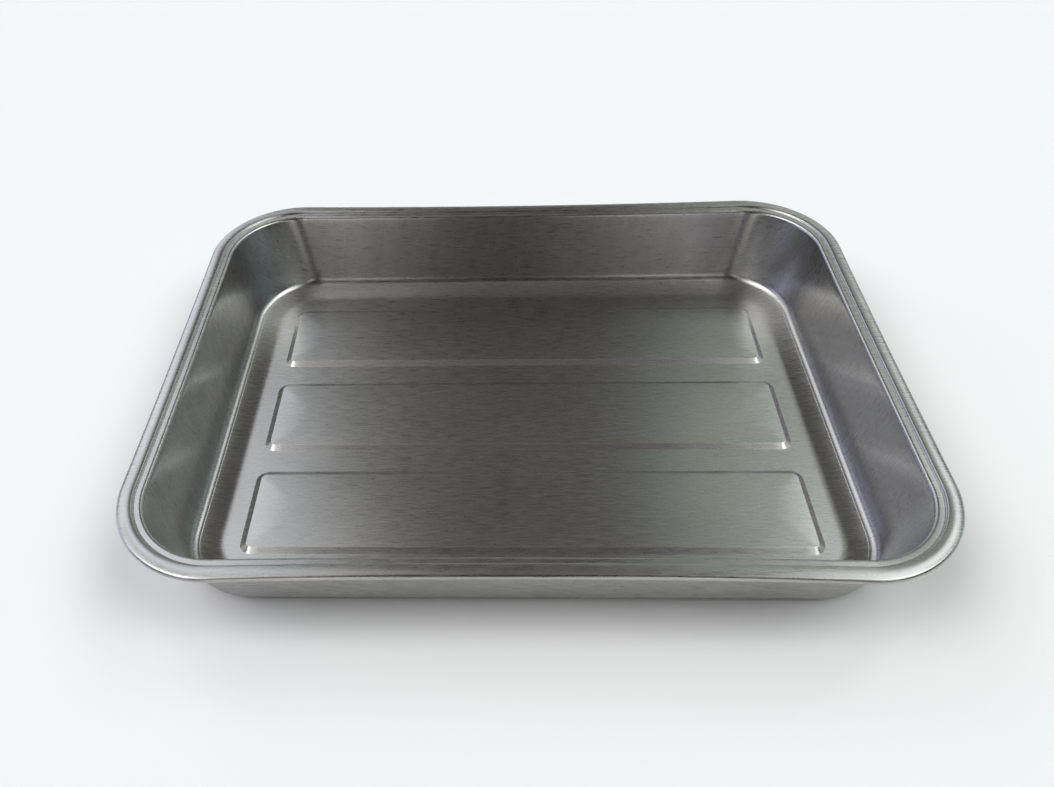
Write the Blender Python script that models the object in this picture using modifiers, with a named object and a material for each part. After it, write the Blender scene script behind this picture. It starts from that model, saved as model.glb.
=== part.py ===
"""Rectangular pressed-steel tray with a stepped, curled rim and three raised floor panels.

The tray is one sheet. Its upper surface is lofted from rounded rectangles whose insets and heights
follow the bends of the sheet's cross-section, and a Solidify modifier gives it its gauge.
Units are metres. +X is the long side, +Y the short side, +Z is up.
The origin is on the surface the tray stands on, under its middle.
"""
import math

import bmesh
import bpy

# Overall size
LENGTH = 0.360
DEPTH = 0.270
HEIGHT = 0.048
SHEET = 0.0006

# Rim, from the outer edge inwards
RIM_CORNER = 0.048
CURL_RADIUS = 0.0015
CURL_WRAP = math.radians(140.0)
BAND_SLOPE = math.radians(10.0)
BAND_RADIUS = 0.0140
SHOULDER_RADIUS = 0.0010
STEP_SLOPE = math.radians(55.0)
STEP_FALL = 0.0003
VALLEY_RADIUS = 0.0009
LEDGE = 0.0018
LIP_RADIUS = 0.0020

# Wall, and the bends that join it to the floor: a tight heel, a shallow cove and a soft foot.
DRAFT = math.radians(11.5)
HEEL_RADIUS = 0.0055
COVE_STEEP = math.radians(17.0)
COVE_RADIUS = 0.075
COVE_SHALLOW = math.radians(10.0)
FOOT_RADIUS = 0.030

# How far the sides of the rim have sprung inwards at mid-length, none at the floor
LONG_SIDE_BOW = 0.0022
SHORT_SIDE_BOW = 0.0005

# Raised panels, measured at the foot of their slopes
PANEL_COUNT = 3
PANEL_LENGTH = 0.2745
PANEL_DEPTH = 0.0504
PANEL_GAP = 0.0142
PANEL_CORNER = 0.0060
PANEL_RISE = 0.0020
PANEL_SLOPE = math.radians(36.0)
PANEL_FOOT_RADIUS = 0.0006
PANEL_EDGE_RADIUS = 0.0016

# Steps along round stretches
RIM_CORNER_STEPS = 10
LONG_SIDE_STEPS = 6
SHORT_SIDE_STEPS = 2
PANEL_CORNER_STEPS = 4
CURL_STEPS = 4
BAND_STEPS = 2
BEND_STEPS = 3
PANEL_BEND_STEPS = 2
HEEL_STEPS = 4
COVE_STEPS = 2

SHARP_ANGLE = math.radians(40.0)
STEEL_COLOUR = (0.52, 0.52, 0.53, 1.0)
STEEL_ROUGHNESS = 0.32


class SheetPath:
    """A line through a bent sheet's cross-section: each point is (inset from the edge, height)."""

    def __init__(self, inset, height, heading):
        self.inset = inset
        self.height = height
        self.heading = heading
        self.points = [(inset, height)]

    def straight(self, length):
        self.inset += length * math.cos(self.heading)
        self.height += length * math.sin(self.heading)
        self.points.append((self.inset, self.height))

    def bend(self, radius, new_heading, steps):
        """Follow an arc until the path points along new_heading."""
        turn = (new_heading - self.heading) / steps
        chord = 2.0 * radius * math.sin(abs(turn) / 2.0)
        for _ in range(steps):
            self.heading += turn / 2.0
            self.straight(chord)
            self.heading += turn / 2.0


def curl_points():
    """The free edge rolled under the rim, from its end out to the rim's outermost point."""
    path = SheetPath(0.0, 0.0, -math.pi / 2.0)
    path.bend(CURL_RADIUS, CURL_WRAP - math.pi / 2.0, CURL_STEPS)
    return path.points[:0:-1]


def section_points():
    """The upper surface's cross-section from the curl's free edge in to the flat floor."""
    path = SheetPath(0.0, 0.0, math.pi / 2.0)
    path.bend(CURL_RADIUS, BAND_SLOPE, BEND_STEPS)
    path.bend(BAND_RADIUS, -BAND_SLOPE, BAND_STEPS)
    path.bend(SHOULDER_RADIUS, -STEP_SLOPE, BEND_STEPS)
    path.straight(STEP_FALL)
    path.bend(VALLEY_RADIUS, 0.0, BEND_STEPS)
    path.straight(LEDGE)
    path.bend(LIP_RADIUS, DRAFT - math.pi / 2.0, BEND_STEPS)
    rim_top = max(height for _, height in path.points)
    heel_fall = HEEL_RADIUS * (math.cos(COVE_STEEP) - math.sin(DRAFT))
    cove_fall = COVE_RADIUS * (math.cos(COVE_SHALLOW) - math.cos(COVE_STEEP))
    foot_fall = FOOT_RADIUS * (1.0 - math.cos(COVE_SHALLOW))
    wall_fall = HEIGHT - SHEET - (rim_top - path.height) - heel_fall - cove_fall - foot_fall
    wall_top = path.inset
    path.straight(wall_fall / math.cos(DRAFT))
    wall_foot = path.inset
    path.bend(HEEL_RADIUS, -COVE_STEEP, HEEL_STEPS)
    path.bend(COVE_RADIUS, -COVE_SHALLOW, COVE_STEPS)
    path.bend(FOOT_RADIUS, 0.0, COVE_STEPS)
    lift = HEIGHT - rim_top
    points = [(inset, height + lift) for inset, height in curl_points() + path.points]
    return points, wall_top, wall_foot


def rounded_rectangle(half_x, half_y, corner, corner_steps, long_steps=1, short_steps=1):
    """Points counter-clockwise around a rounded rectangle centred on the origin."""
    points = []
    side_steps = (long_steps, short_steps, long_steps, short_steps)
    for quarter, (side_x, side_y) in enumerate(((1, 1), (-1, 1), (-1, -1), (1, -1))):
        centre_x = side_x * (half_x - corner)
        centre_y = side_y * (half_y - corner)
        for step in range(corner_steps + 1):
            angle = (quarter + step / corner_steps) * math.pi / 2.0
            x = centre_x + corner * math.cos(angle)
            y = centre_y + corner * math.sin(angle)
            points.append((x, y))
        span = 2.0 * ((half_x if quarter % 2 == 0 else half_y) - corner)
        for step in range(1, side_steps[quarter]):
            along = span * step / side_steps[quarter]
            points.append((x - along * math.sin(angle), y + along * math.cos(angle)))
    return points


def bow_inwards(x, y, height):
    """Move a rim or wall point in by the bow of the tray's sides, which fades out towards the floor."""
    rise = (height / HEIGHT) ** 2
    along_x = max(0.0, 1.0 - (x / (LENGTH / 2 - RIM_CORNER)) ** 2)
    along_y = max(0.0, 1.0 - (y / (DEPTH / 2 - RIM_CORNER)) ** 2)
    shift_x = SHORT_SIDE_BOW * rise * along_y * (abs(x) / (LENGTH / 2)) ** 6
    shift_y = LONG_SIDE_BOW * rise * along_x * (abs(y) / (DEPTH / 2)) ** 6
    return x - math.copysign(shift_x, x), y - math.copysign(shift_y, y)


def add_ring(bm, points, height, centre_y=0.0):
    return [bm.verts.new((x, y + centre_y, height)) for x, y in points]


def loft(bm, outer, inner):
    """Join two rings of equally many points with a band of faces that looks up and inwards."""
    for here in range(len(outer)):
        there = (here + 1) % len(outer)
        bm.faces.new((outer[here], outer[there], inner[there], inner[here]))


def ring_edges(bm, ring):
    return [bm.edges.get((ring[here - 1], ring[here])) for here in range(len(ring))]


def add_rim_and_walls(bm):
    """Loft the section around the tray and return the ring at the edge of the flat floor."""
    points, wall_top, wall_foot = section_points()
    ring = None
    for inset, height in points:
        corner = RIM_CORNER - min(inset, wall_top) - max(0.0, inset - wall_foot)
        outline = rounded_rectangle(LENGTH / 2 - inset, DEPTH / 2 - inset, corner,
                                    RIM_CORNER_STEPS, LONG_SIDE_STEPS, SHORT_SIDE_STEPS)
        next_ring = add_ring(bm, [bow_inwards(x, y, height) for x, y in outline], height)
        if ring:
            loft(bm, ring, next_ring)
        ring = next_ring
    return ring


def panel_section():
    """A raised panel's edge from the foot of its slope to its flat top."""
    bends_rise = (PANEL_FOOT_RADIUS + PANEL_EDGE_RADIUS) * (1.0 - math.cos(PANEL_SLOPE))
    path = SheetPath(0.0, SHEET, 0.0)
    path.bend(PANEL_FOOT_RADIUS, PANEL_SLOPE, PANEL_BEND_STEPS)
    path.straight((PANEL_RISE - bends_rise) / math.sin(PANEL_SLOPE))
    path.bend(PANEL_EDGE_RADIUS, 0.0, PANEL_BEND_STEPS)
    return path.points


def add_panel(bm, centre_y):
    """Add one raised panel and return the ring at its foot."""
    foot = None
    ring = None
    for inset, height in panel_section():
        outline = rounded_rectangle(PANEL_LENGTH / 2 - inset, PANEL_DEPTH / 2 - inset,
                                    PANEL_CORNER - inset, PANEL_CORNER_STEPS)
        next_ring = add_ring(bm, outline, height, centre_y)
        if ring:
            loft(bm, ring, next_ring)
        foot = foot or next_ring
        ring = next_ring
    bm.faces.new(ring)
    return foot


def add_floor(bm, floor_edge):
    """Fill the flat floor between its edge and the raised panels."""
    edges = ring_edges(bm, floor_edge)
    for index in range(PANEL_COUNT):
        centre_y = (index - (PANEL_COUNT - 1) / 2) * (PANEL_DEPTH + PANEL_GAP)
        edges += ring_edges(bm, add_panel(bm, centre_y))
    bmesh.ops.triangle_fill(bm, use_beauty=True, edges=edges, normal=(0.0, 0.0, 1.0))


def steel_material():
    material = bpy.data.materials.new("stainless_steel")
    material.use_nodes = True
    shader = material.node_tree.nodes["Principled BSDF"]
    shader.inputs["Base Color"].default_value = STEEL_COLOUR
    shader.inputs["Metallic"].default_value = 1.0
    shader.inputs["Roughness"].default_value = STEEL_ROUGHNESS
    return material


def build_tray_pan(collection):
    """The whole tray: one drawn sheet with a curled rim."""
    bm = bmesh.new()
    floor_edge = add_rim_and_walls(bm)
    add_floor(bm, floor_edge)
    mesh = bpy.data.meshes.new("tray_pan")
    bm.to_mesh(mesh)
    bm.free()
    mesh.shade_smooth()
    mesh.set_sharp_from_angle(angle=SHARP_ANGLE)
    mesh.materials.append(steel_material())
    tray = bpy.data.objects.new("tray_pan", mesh)
    collection.objects.link(tray)
    gauge = tray.modifiers.new("sheet_gauge", "SOLIDIFY")
    gauge.thickness = SHEET
    gauge.offset = -1.0
    gauge.use_even_offset = True
    return tray


for old_object in list(bpy.data.objects):
    bpy.data.objects.remove(old_object, do_unlink=True)

tray_collection = bpy.data.collections.new("pressed_steel_tray")
bpy.context.scene.collection.children.link(tray_collection)
build_tray_pan(tray_collection)
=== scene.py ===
"""Looks of the pressed-steel tray: a fine smooth sheet, a brushed-steel material, studio and camera."""
import math

import bmesh
import bpy
from mathutils import Matrix, Vector


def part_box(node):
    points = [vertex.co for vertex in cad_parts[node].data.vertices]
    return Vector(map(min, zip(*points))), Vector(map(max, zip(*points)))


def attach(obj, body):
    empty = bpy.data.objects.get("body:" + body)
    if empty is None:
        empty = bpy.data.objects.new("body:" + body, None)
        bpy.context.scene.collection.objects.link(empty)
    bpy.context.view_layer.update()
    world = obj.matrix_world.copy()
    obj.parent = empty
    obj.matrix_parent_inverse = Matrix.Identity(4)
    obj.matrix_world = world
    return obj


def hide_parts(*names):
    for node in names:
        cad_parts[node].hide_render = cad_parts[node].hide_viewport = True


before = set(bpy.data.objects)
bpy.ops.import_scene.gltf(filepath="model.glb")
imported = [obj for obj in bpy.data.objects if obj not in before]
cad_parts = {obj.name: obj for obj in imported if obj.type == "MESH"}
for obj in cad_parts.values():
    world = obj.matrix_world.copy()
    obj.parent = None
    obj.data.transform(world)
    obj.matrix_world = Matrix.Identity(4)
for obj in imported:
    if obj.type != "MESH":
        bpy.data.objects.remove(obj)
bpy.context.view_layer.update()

# Overall size in metres, from the frame
LOW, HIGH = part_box("tray_pan")
LENGTH = HIGH[0] - LOW[0]
DEPTH = HIGH[1] - LOW[1]
HEIGHT = HIGH[2] - LOW[2]
SHEET = 0.0006

# Rim, from the outer edge inwards
RIM_CORNER = 0.048
CURL_RADIUS = 0.0015
CURL_WRAP = math.radians(140.0)
BAND_SLOPE = math.radians(10.0)
BAND_RADIUS = 0.0140
SHOULDER_RADIUS = 0.0010
STEP_SLOPE = math.radians(55.0)
STEP_FALL = 0.0003
VALLEY_RADIUS = 0.0009
LEDGE = 0.0018
LIP_RADIUS = 0.0020

# Wall, and the bends that join it to the floor: a tight heel, a small crease, a shallow cove and a foot
DRAFT = math.radians(11.5)
HEEL_RADIUS = 0.0055
COVE_STEEP = math.radians(17.0)
COVE_RADIUS = 0.064
COVE_SHALLOW = math.radians(10.0)
FOOT_RADIUS = 0.020
CREASE_SLOPES = [math.radians(angle) for angle in (13.0, 27.0)]
CREASE_RADIUS = 0.0014

# How far the sides of the rim have sprung inwards at mid-length, none at the floor
LONG_SIDE_BOW = 0.0022
SHORT_SIDE_BOW = 0.0005
BOW_POWER = 6

# Raised panels, measured at the foot of their slopes
PANEL_COUNT = 3
PANEL_LENGTH = 0.2745
PANEL_DEPTH = 0.0504
PANEL_GAP = 0.0142
PANEL_CORNER = 0.0060
PANEL_SMALLEST_CORNER = 0.0020
PANEL_RISE = 0.0020
PANEL_SLOPE = math.radians(29.0)
PANEL_FOOT_RADIUS = 0.0003
PANEL_EDGE_RADIUS = 0.0010
PANEL_CROWN = 0.0003
PANEL_CROWN_WIDTH = 0.017
PANEL_TRAVEL = -0.02

# Flat strip beside a bend, which keeps the bend's shading off the flat floor
GUARD = 0.0006

# Mesh fineness
CORNER_STEPS = 26
SIDE_STEP = 0.0042
PANEL_CORNER_STEPS = 8
CURL_STEPS = 10
BAND_STEPS = 8
BEND_STEPS = 7
SLOPE_STEPS = 3
WALL_STEPS = 12
HEEL_STEPS = 16
CREASE_STEPS = 5
COVE_STEPS = 5
PANEL_TOP_RINGS = 9

# Steel. Scales are features per metre along the grain and across it, or around the tray and up its
# section. Tones are shares of the steel's lightness. Spans are the noise values that give the extremes.
STEEL_COLOUR = (0.435, 0.43, 0.42)
ANISOTROPY = 0.88
QUARTER_TURN = 0.25
GRAIN_SCALE = (120.0, 2100.0, 1.0)
GRAIN_DETAIL = 3.0
GRAIN_FINENESS = 0.6
BAND_SCALE = (50.0, 700.0, 1.0)
BAND_SHARE = 0.2
CLOUD_SCALE = (16.0, 22.0, 1.0)
DRAW_SCALE = (230.0, 9.0, 1.0)
MOTTLE_SCALE = (60.0, 150.0, 1.0)
WAVE_SCALE = (14.0, 17.0, 1.0)
WAVE_DETAIL = 1.0
WAVE_FINENESS = 0.4
GRAIN_TONE = 0.075
CLOUD_TONE = 0.06
DRAW_TONE = 0.05
MOTTLE_TONE = 0.02
PIT_TONE = 0.45
PIT_SPACING = 0.019
PIT_SIZE = 0.0007
PIT_RARITY = 0.6
GRAIN_SPAN = (0.42, 0.58)
TONE_SPAN = (0.3, 0.7)
ROUGH_SPAN = (0.4, 0.6)
WORN_SPAN = (0.35, 0.65)
ROUGH_LOW = 0.26
ROUGH_HIGH = 0.32
WORN_ROUGHNESS = 0.02
GRAIN_HEIGHT = 0.000006
WAVE_HEIGHT = 0.000015
RIM_FROM, RIM_TO = HEIGHT - 0.0026, HEIGHT - 0.0014
WALL_FROM, WALL_TO = 0.0060, 0.0100

# Studio
FLOOR_HALF = 6.0
FLOOR_GAP = 0.0002
FLOOR_COLOUR = (0.92, 0.92, 0.92)
FLOOR_ROUGHNESS = 0.9
FLOOR_SHINE = 0.1
BACKDROP_RADIUS = 5.5
BACKDROP_STEPS = 48
BACKDROP_COLOUR = (0.88, 0.91, 0.93)
BLACK = (0.0, 0.0, 0.0)

# Soft light screens: azimuth, elevation, half-width and half-height in degrees, then the colour.
# Azimuth 0 is behind the tray and positive to the right.
SCREENS = (
    ((-107, 55, 33, 20), (5.0, 5.0, 5.0)),  # broad, left
    ((103, 55, 27, 19), (4.8, 5.0, 4.8)),  # broad, right
    ((-32, 60, 11, 11), (1.5, 1.6, 1.7)),  # behind on the left, three that join
    ((-37, 41, 18, 13), (1.85, 1.95, 2.1)),
    ((-29, 72, 9, 8), (1.2, 1.15, 1.1)),
    ((23, 47, 9, 11), (0.66, 0.77, 0.66)),  # behind on the right, two side by side
    ((48, 52, 12, 12), (3.6, 3.8, 3.9)),
    ((0, 50, 55, 26), (0.085, 0.08, 0.07)),  # faint, straight behind
    ((0, 84, 400, 18), (0.26, 0.24, 0.245)),  # overhead, all round
    ((17, 1, 60, 26), (0.68, 0.72, 0.70)),  # low, behind
    ((-30, 18, 9, 9), (1.2, 1.25, 1.7)),
    ((-80, 14, 19, 22), (1.5, 1.5, 2.2)),  # low, left
    ((80, 14, 19, 22), (0.4, 0.55, 0.62)),  # low, right
    ((-168, 10, 6, 15), (2.0, 1.95, 1.9)),  # in front, to either side of the camera
    ((168, 10, 6, 15), (1.9, 1.85, 1.85)),
)

# Camera; the lens and shift are for a frame 1054 wide and 787 high
CAMERA_SENSOR = 36.0
CAMERA_LENS = 30.04
CAMERA_SHIFT = (0.0611, -0.0203)
CAMERA_CLIP = 0.01
CAMERA_PLACE = (-0.01315, -0.3294, 0.34419)
CAMERA_YAW = -0.0576
CAMERA_PITCH = 0.7564
CAMERA_ROLL = -0.0468


class SheetPath:
    """A line through a bent sheet's cross-section: each point is (inset from the edge, height)."""

    def __init__(self, inset, height, heading):
        self.inset = inset
        self.height = height
        self.heading = heading
        self.points = [(inset, height)]

    def straight(self, length, steps=1):
        for _ in range(steps):
            self.inset += length / steps * math.cos(self.heading)
            self.height += length / steps * math.sin(self.heading)
            self.points.append((self.inset, self.height))

    def bend(self, radius, new_heading, steps):
        """Follow an arc until the path points along new_heading."""
        turn = (new_heading - self.heading) / steps
        chord = 2.0 * radius * math.sin(abs(turn) / 2.0)
        for _ in range(steps):
            self.heading += turn / 2.0
            self.straight(chord)
            self.heading += turn / 2.0


def curl_points():
    """The free edge rolled under the rim, from its end out to the rim's outermost point."""
    path = SheetPath(0.0, 0.0, -math.pi / 2.0)
    path.bend(CURL_RADIUS, CURL_WRAP - math.pi / 2.0, CURL_STEPS)
    return path.points[:0:-1]


def bend_to_floor(path):
    """Follow the bends from the wall to the floor: heel, crease, cove and foot."""
    path.bend(HEEL_RADIUS, -CREASE_SLOPES[0], HEEL_STEPS)
    for slope in (CREASE_SLOPES[1], COVE_STEEP):
        path.bend(CREASE_RADIUS, -slope, CREASE_STEPS)
    path.bend(COVE_RADIUS, -COVE_SHALLOW, COVE_STEPS)
    path.bend(FOOT_RADIUS, 0.0, COVE_STEPS)


def section_points():
    """The upper surface's cross-section from the curl's free edge in to the flat floor."""
    path = SheetPath(0.0, 0.0, math.pi / 2.0)
    path.bend(CURL_RADIUS, BAND_SLOPE, BEND_STEPS)
    path.bend(BAND_RADIUS, -BAND_SLOPE, BAND_STEPS)
    path.bend(SHOULDER_RADIUS, -STEP_SLOPE, BEND_STEPS)
    path.straight(STEP_FALL)
    path.bend(VALLEY_RADIUS, 0.0, BEND_STEPS)
    path.straight(LEDGE)
    path.bend(LIP_RADIUS, DRAFT - math.pi / 2.0, BEND_STEPS)
    rim_top = max(height for _, height in path.points)
    trial = SheetPath(0.0, 0.0, path.heading)
    bend_to_floor(trial)
    wall_fall = HEIGHT - SHEET - (rim_top - path.height) + trial.height
    wall_top = path.inset
    path.straight(wall_fall / math.cos(DRAFT), WALL_STEPS)
    wall_foot = path.inset
    bend_to_floor(path)
    path.straight(GUARD)
    lift = HEIGHT - rim_top
    points = [(inset, height + lift) for inset, height in curl_points() + path.points]
    return points, wall_top, wall_foot


def rounded_rectangle(half_x, half_y, corner, corner_steps, long_steps, short_steps):
    """Plan points counter-clockwise around a rounded rectangle, with their outward directions."""
    rows = []
    side_steps = (long_steps, short_steps, long_steps, short_steps)
    for quarter, (side_x, side_y) in enumerate(((1, 1), (-1, 1), (-1, -1), (1, -1))):
        centre = Vector((side_x * (half_x - corner), side_y * (half_y - corner)))
        for step in range(corner_steps + 1):
            angle = (quarter + step / corner_steps) * math.pi / 2.0
            outward = Vector((math.cos(angle), math.sin(angle)))
            rows.append((centre + corner * outward, outward))
        span = 2.0 * ((half_x if quarter % 2 == 0 else half_y) - corner)
        along = Vector((-outward.y, outward.x))
        for step in range(1, side_steps[quarter]):
            rows.append((centre + corner * outward + along * span * step / side_steps[quarter], outward))
    return rows


class SheetMesh:
    """Collects the tray's upper surface and the place each point had in the flat blank."""

    def __init__(self):
        self.bm = bmesh.new()
        self.blank = self.bm.loops.layers.uv.new("blank")
        self.section = self.bm.loops.layers.uv.new("section")
        self.places = {}

    def ring(self, rows, height, travel, centre=Vector((0.0, 0.0))):
        """Add a ring of points.

        travel is the sheet's length from the flat floor out to the ring, and how much longer that is
        than the way in plan.
        """
        ring = []
        around = 0.0
        before = rows[0][0]
        for plan, outward in rows:
            vert = self.bm.verts.new((plan.x + centre.x, plan.y + centre.y, height))
            around += (plan - before).length
            before = plan
            flat = plan + centre + outward * travel[1]
            self.places[vert] = (flat, Vector((around, travel[0])))
            ring.append(vert)
        return ring

    def loft(self, outer, inner):
        for here in range(len(outer)):
            there = (here + 1) % len(outer)
            self.bm.faces.new((outer[here], outer[there], inner[there], inner[here]))

    def finish(self, name):
        for face in self.bm.faces:
            face.smooth = True
            for loop in face.loops:
                flat, section = self.places[loop.vert]
                loop[self.blank].uv = flat
                loop[self.section].uv = section
        mesh = bpy.data.meshes.new(name)
        self.bm.to_mesh(mesh)
        self.bm.free()
        return mesh


def bow_inwards(plan, height):
    """Move a rim or wall point in by the bow of the tray's sides, which fades out towards the floor."""
    rise = (height / HEIGHT) ** 2
    along_x = max(0.0, 1.0 - (plan.x / (LENGTH / 2 - RIM_CORNER)) ** 2)
    along_y = max(0.0, 1.0 - (plan.y / (DEPTH / 2 - RIM_CORNER)) ** 2)
    near_long = (abs(plan.y) / (DEPTH / 2)) ** BOW_POWER
    near_short = (abs(plan.x) / (LENGTH / 2)) ** BOW_POWER
    shift_x = -math.copysign(SHORT_SIDE_BOW * rise * along_y * near_short, plan.x)
    shift_y = -math.copysign(LONG_SIDE_BOW * rise * along_x * near_long, plan.y)
    return plan + Vector((shift_x, shift_y))


def add_rim_and_walls(sheet):
    """Loft the section around the tray and return the ring at the edge of the flat floor."""
    points, wall_top, wall_foot = section_points()
    travels = [0.0]
    for before, here in zip(points[:0:-1], points[-2::-1]):
        travels.append(travels[-1] + math.hypot(here[0] - before[0], here[1] - before[1]))
    travels.reverse()
    long_steps = round((LENGTH - 2 * RIM_CORNER) / SIDE_STEP)
    short_steps = round((DEPTH - 2 * RIM_CORNER) / SIDE_STEP)
    floor_inset = points[-1][0]
    ring = None
    for (inset, height), travel in zip(points, travels):
        corner = RIM_CORNER - min(inset, wall_top) - max(0.0, inset - wall_foot)
        rows = rounded_rectangle(LENGTH / 2 - inset, DEPTH / 2 - inset, corner,
                                 CORNER_STEPS, long_steps, short_steps)
        rows = [(bow_inwards(plan, height), outward) for plan, outward in rows]
        next_ring = sheet.ring(rows, height, (travel, travel - (floor_inset - inset)))
        if ring:
            sheet.loft(ring, next_ring)
        ring = next_ring
    return ring


def panel_section():
    """A raised panel's edge from just outside the foot of its slope to its flat top."""
    bends_rise = (PANEL_FOOT_RADIUS + PANEL_EDGE_RADIUS) * (1.0 - math.cos(PANEL_SLOPE))
    slope_rise = PANEL_RISE - PANEL_CROWN - bends_rise
    path = SheetPath(-GUARD, SHEET, 0.0)
    path.straight(GUARD)
    path.bend(PANEL_FOOT_RADIUS, PANEL_SLOPE, BEND_STEPS)
    path.straight(slope_rise / math.sin(PANEL_SLOPE), SLOPE_STEPS)
    path.bend(PANEL_EDGE_RADIUS, 0.0, BEND_STEPS)
    edge_inset, edge_height = path.points[-1]
    for step in range(1, PANEL_TOP_RINGS + 1):
        share = step / PANEL_TOP_RINGS
        inset = edge_inset + PANEL_CROWN_WIDTH * share
        path.points.append((inset, edge_height + PANEL_CROWN * (1.0 - (1.0 - share) ** 2)))
    return path.points


def add_panel(sheet, centre_y):
    """Add one raised panel and return the ring around its foot."""
    long_steps = round(PANEL_LENGTH / SIDE_STEP)
    short_steps = round(PANEL_DEPTH / SIDE_STEP)
    foot = None
    ring = None
    for inset, height in panel_section():
        corner = max(PANEL_SMALLEST_CORNER, PANEL_CORNER - inset)
        rows = rounded_rectangle(PANEL_LENGTH / 2 - inset, PANEL_DEPTH / 2 - inset, corner,
                                 PANEL_CORNER_STEPS, long_steps, short_steps)
        next_ring = sheet.ring(rows, height, (PANEL_TRAVEL - inset, 0.0), Vector((0.0, centre_y)))
        if ring:
            sheet.loft(ring, next_ring)
        foot = foot or next_ring
        ring = next_ring
    sheet.bm.faces.new(ring)
    return foot


def ring_edges(bm, ring):
    return [bm.edges.get((ring[here - 1], ring[here])) for here in range(len(ring))]


def build_tray_skin():
    """The whole tray as one thin sheet."""
    sheet = SheetMesh()
    edges = ring_edges(sheet.bm, add_rim_and_walls(sheet))
    for index in range(PANEL_COUNT):
        centre_y = (index - (PANEL_COUNT - 1) / 2) * (PANEL_DEPTH + PANEL_GAP)
        edges += ring_edges(sheet.bm, add_panel(sheet, centre_y))
    bmesh.ops.triangle_fill(sheet.bm, use_beauty=True, edges=edges, normal=(0.0, 0.0, 1.0))
    tray = bpy.data.objects.new("tray_skin", sheet.finish("tray_skin"))
    bpy.context.scene.collection.objects.link(tray)
    gauge = tray.modifiers.new("sheet_gauge", "SOLIDIFY")
    gauge.thickness = SHEET
    gauge.offset = -1.0
    gauge.use_even_offset = True
    return tray


class Nodes:
    """Short calls for building a node tree."""

    def __init__(self, tree):
        self.tree = tree

    def add(self, kind, **settings):
        node = self.tree.nodes.new(kind)
        for key, value in settings.items():
            setattr(node, key, value)
        return node

    def link(self, source, target):
        self.tree.links.new(source, target)

    def math(self, operation, first, second=0.0, third=0.0):
        node = self.add("ShaderNodeMath", operation=operation)
        for socket, value in zip(node.inputs, (first, second, third)):
            if isinstance(value, (int, float)):
                socket.default_value = value
            else:
                self.link(value, socket)
        return node.outputs[0]

    def noise(self, vector, scale, detail=2.0, roughness=0.5):
        """Noise on coordinates stretched by a scale for each axis."""
        stretch = self.add("ShaderNodeVectorMath", operation="MULTIPLY")
        self.link(vector, stretch.inputs[0])
        stretch.inputs[1].default_value = scale
        noise = self.add("ShaderNodeTexNoise")
        noise.inputs["Scale"].default_value = 1.0
        noise.inputs["Detail"].default_value = detail
        noise.inputs["Roughness"].default_value = roughness
        self.link(stretch.outputs[0], noise.inputs["Vector"])
        return noise.outputs["Fac"]

    def blend(self, first, second, share):
        """Mix two values: share is how much of the second."""
        return self.math("MULTIPLY_ADD", self.math("SUBTRACT", second, first), share, first)

    def bump(self, noise, height):
        node = self.add("ShaderNodeBump")
        node.inputs["Strength"].default_value = 1.0
        node.inputs["Distance"].default_value = height
        self.link(noise, node.inputs["Height"])
        return node

    def pits(self, vector, spacing, size):
        """1 in small round spots, a few of them, at random places about spacing apart."""
        cells = self.add("ShaderNodeTexVoronoi", voronoi_dimensions="2D")
        cells.inputs["Scale"].default_value = 1.0 / spacing
        self.link(vector, cells.inputs["Vector"])
        few = self.add("ShaderNodeSeparateColor")
        self.link(cells.outputs["Color"], few.inputs[0])
        spot = self.remap(cells.outputs["Distance"], size / spacing, 0.5 * size / spacing, 0.0, 1.0)
        return self.math("MULTIPLY", spot, self.math("GREATER_THAN", few.outputs[0], PIT_RARITY))

    def remap(self, value, low, high, out_low, out_high):
        """Map low..high to out_low..out_high, and hold the ends outside that."""
        node = self.add("ShaderNodeMapRange")
        self.link(value, node.inputs["Value"])
        node.inputs["From Min"].default_value = low
        node.inputs["From Max"].default_value = high
        node.inputs["To Min"].default_value = out_low
        node.inputs["To Max"].default_value = out_high
        return node.outputs[0]

    def swing(self, noise, span, reach):
        """Noise turned into -reach..reach."""
        return self.remap(noise, span[0], span[1], -reach, reach)


def steel_tone(nodes, grain, mottle, on_rim, blank, section, height):
    """How much lighter the steel is than plain: grain, clouds, draw marks, a mottled rim, less pits."""
    cloud = nodes.noise(blank, CLOUD_SCALE, 3.0)
    draw = nodes.noise(section, DRAW_SCALE, 2.0)
    on_wall = nodes.math("SUBTRACT", nodes.remap(height, WALL_FROM, WALL_TO, 0.0, 1.0), on_rim)
    tone = nodes.swing(grain, GRAIN_SPAN, GRAIN_TONE)
    tone = nodes.math("ADD", tone, nodes.swing(cloud, TONE_SPAN, CLOUD_TONE))
    marks = nodes.math("MULTIPLY", nodes.swing(draw, TONE_SPAN, DRAW_TONE), on_wall)
    tone = nodes.math("ADD", tone, marks)
    blotches = nodes.math("MULTIPLY", nodes.swing(mottle, TONE_SPAN, MOTTLE_TONE), on_rim)
    tone = nodes.math("ADD", tone, blotches)
    pits = nodes.math("MULTIPLY", nodes.pits(section, PIT_SPACING, PIT_SIZE), on_wall)
    return nodes.math("SUBTRACT", tone, nodes.math("MULTIPLY", pits, PIT_TONE))


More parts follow.
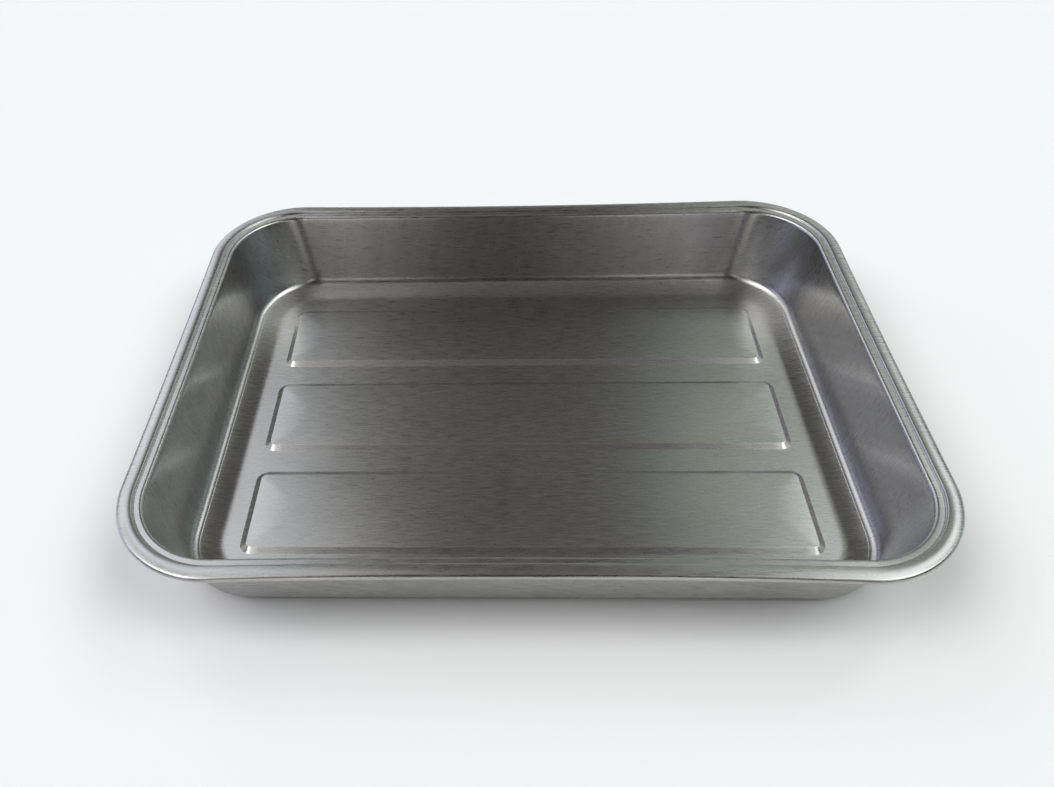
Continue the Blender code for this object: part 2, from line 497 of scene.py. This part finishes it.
def brushed_steel():
    """Satin stainless steel whose grain ran along X in the flat blank."""
    material = bpy.data.materials.new("brushed_stainless_steel")
    material.use_nodes = True
    nodes = Nodes(material.node_tree)
    shader = material.node_tree.nodes["Principled BSDF"]
    blank = nodes.add("ShaderNodeUVMap", uv_map="blank").outputs[0]
    section = nodes.add("ShaderNodeUVMap", uv_map="section").outputs[0]
    place = nodes.add("ShaderNodeSeparateXYZ")
    nodes.link(nodes.add("ShaderNodeTexCoord").outputs["Object"], place.inputs[0])
    height = place.outputs["Z"]
    tangent = nodes.add("ShaderNodeTangent", direction_type="UV_MAP", uv_map="blank")
    nodes.link(tangent.outputs[0], shader.inputs["Tangent"])
    shader.inputs["Metallic"].default_value = 1.0
    shader.inputs["Anisotropic"].default_value = ANISOTROPY
    shader.inputs["Anisotropic Rotation"].default_value = QUARTER_TURN

    fine = nodes.noise(blank, GRAIN_SCALE, GRAIN_DETAIL, GRAIN_FINENESS)
    grain = nodes.blend(fine, nodes.noise(blank, BAND_SCALE), BAND_SHARE)
    mottle = nodes.noise(section, MOTTLE_SCALE, 3.0)
    on_rim = nodes.remap(height, RIM_FROM, RIM_TO, 0.0, 1.0)
    tone = steel_tone(nodes, grain, mottle, on_rim, blank, section, height)
    colour = nodes.add("ShaderNodeMix", data_type="RGBA", blend_type="MULTIPLY", clamp_factor=False)
    colour.inputs["Factor"].default_value = 1.0
    colour.inputs["A"].default_value = (*STEEL_COLOUR, 1.0)
    grey = nodes.add("ShaderNodeCombineColor")
    for socket in grey.inputs[:3]:
        nodes.link(nodes.math("ADD", tone, 1.0), socket)
    nodes.link(grey.outputs[0], colour.inputs["B"])
    nodes.link(colour.outputs["Result"], shader.inputs["Base Color"])

    rough = nodes.remap(grain, *ROUGH_SPAN, ROUGH_LOW, ROUGH_HIGH)
    worn = nodes.math("MULTIPLY", nodes.swing(mottle, WORN_SPAN, WORN_ROUGHNESS), on_rim)
    nodes.link(nodes.math("ADD", rough, worn), shader.inputs["Roughness"])

    wave = nodes.bump(nodes.noise(blank, WAVE_SCALE, WAVE_DETAIL, WAVE_FINENESS), WAVE_HEIGHT)
    brush = nodes.bump(grain, GRAIN_HEIGHT)
    nodes.link(wave.outputs[0], brush.inputs["Normal"])
    nodes.link(brush.outputs[0], shader.inputs["Normal"])
    return material


def studio_piece(name, mesh):
    """Put a piece of the studio in the scene and return it with its shader."""
    piece = bpy.data.objects.new(name, mesh)
    bpy.context.scene.collection.objects.link(piece)
    material = bpy.data.materials.new(name)
    material.use_nodes = True
    piece.data.materials.append(material)
    return piece, material.node_tree.nodes["Principled BSDF"]


def pale_floor():
    """A plain pale floor, large enough to reach past the view."""
    mesh = bpy.data.meshes.new("studio_floor")
    half = FLOOR_HALF
    corners = [(-half, -half, 0.0), (half, -half, 0.0), (half, half, 0.0), (-half, half, 0.0)]
    mesh.from_pydata(corners, [], [(0, 1, 2, 3)])
    floor, shader = studio_piece("studio_floor", mesh)
    floor.location.z = LOW[2] - FLOOR_GAP
    shader.inputs["Base Color"].default_value = (*FLOOR_COLOUR, 1.0)
    shader.inputs["Roughness"].default_value = FLOOR_ROUGHNESS
    shader.inputs["Specular IOR Level"].default_value = FLOOR_SHINE


def pale_backdrop():
    """A pale dome that only the camera sees, so that low views don't look into the dark surround."""
    bm = bmesh.new()
    bmesh.ops.create_uvsphere(bm, u_segments=BACKDROP_STEPS, v_segments=BACKDROP_STEPS,
                              radius=BACKDROP_RADIUS)
    mesh = bpy.data.meshes.new("studio_backdrop")
    bm.to_mesh(mesh)
    bm.free()
    backdrop, shader = studio_piece("studio_backdrop", mesh)
    backdrop.visible_diffuse = False
    backdrop.visible_glossy = False
    backdrop.visible_transmission = False
    backdrop.visible_volume_scatter = False
    backdrop.visible_shadow = False
    shader.inputs["Base Color"].default_value = (*BLACK, 1.0)
    shader.inputs["Specular IOR Level"].default_value = 0.0
    shader.inputs["Emission Color"].default_value = (*BACKDROP_COLOUR, 1.0)
    shader.inputs["Emission Strength"].default_value = 1.0


def screen_light(nodes, azimuth, elevation, shape, colour):
    """One screen's light: even in the middle, with soft edges."""
    middle_turn, middle_lift, half_width, half_height = (math.radians(angle) for angle in shape)
    across = nodes.math("MULTIPLY_ADD", azimuth, 1.0 / half_width, -middle_turn / half_width)
    along = nodes.math("MULTIPLY_ADD", elevation, 1.0 / half_height, -middle_lift / half_height)
    away = nodes.math("MULTIPLY_ADD", across, across, nodes.math("MULTIPLY", along, along))
    fade = nodes.math("MULTIPLY", away, away)
    glow = nodes.math("EXPONENT", nodes.math("MULTIPLY", fade, -1.0))
    tint = nodes.add("ShaderNodeVectorMath", operation="SCALE")
    tint.inputs[0].default_value = colour
    nodes.link(glow, tint.inputs["Scale"])
    return tint.outputs[0]


def surround():
    """A dark studio with soft light screens around the tray."""
    world = bpy.data.worlds.new("studio_surround")
    world.use_nodes = True
    bpy.context.scene.world = world
    nodes = Nodes(world.node_tree)
    background = world.node_tree.nodes["Background"]
    parts = nodes.add("ShaderNodeSeparateXYZ")
    nodes.link(nodes.add("ShaderNodeTexCoord").outputs["Generated"], parts.inputs[0])
    azimuth = nodes.math("ARCTAN2", parts.outputs["X"], parts.outputs["Y"])
    elevation = nodes.math("ARCSINE", parts.outputs["Z"])
    light = None
    for shape, colour in SCREENS:
        screen = screen_light(nodes, azimuth, elevation, shape, colour)
        if light:
            total = nodes.add("ShaderNodeVectorMath", operation="ADD")
            nodes.link(light, total.inputs[0])
            nodes.link(screen, total.inputs[1])
            light = total.outputs[0]
        else:
            light = screen
    nodes.link(light, background.inputs["Color"])


def add_camera():
    """The camera that the tray is seen from."""
    camera = bpy.data.cameras.new("camera")
    camera.sensor_width = CAMERA_SENSOR
    camera.lens = CAMERA_LENS
    camera.shift_x, camera.shift_y = CAMERA_SHIFT
    camera.clip_start = CAMERA_CLIP
    holder = bpy.data.objects.new("camera", camera)
    holder.location = CAMERA_PLACE
    level = Vector((math.cos(CAMERA_YAW), -math.sin(CAMERA_YAW), 0.0))
    ahead = Vector((math.sin(CAMERA_YAW), math.cos(CAMERA_YAW), 0.0))
    forward = math.cos(CAMERA_PITCH) * ahead - Vector((0.0, 0.0, math.sin(CAMERA_PITCH)))
    upright = level.cross(forward)
    right = math.cos(CAMERA_ROLL) * level + math.sin(CAMERA_ROLL) * upright
    up = math.cos(CAMERA_ROLL) * upright - math.sin(CAMERA_ROLL) * level
    holder.rotation_euler = Matrix((right, up, -forward)).transposed().to_euler()
    bpy.context.scene.collection.objects.link(holder)
    bpy.context.scene.camera = holder


tray = build_tray_skin()
tray.data.materials.append(brushed_steel())
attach(tray, "root")
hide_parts("tray_pan")

pale_floor()
pale_backdrop()
surround()
add_camera()
bpy.context.scene.view_settings.view_transform = "Standard"
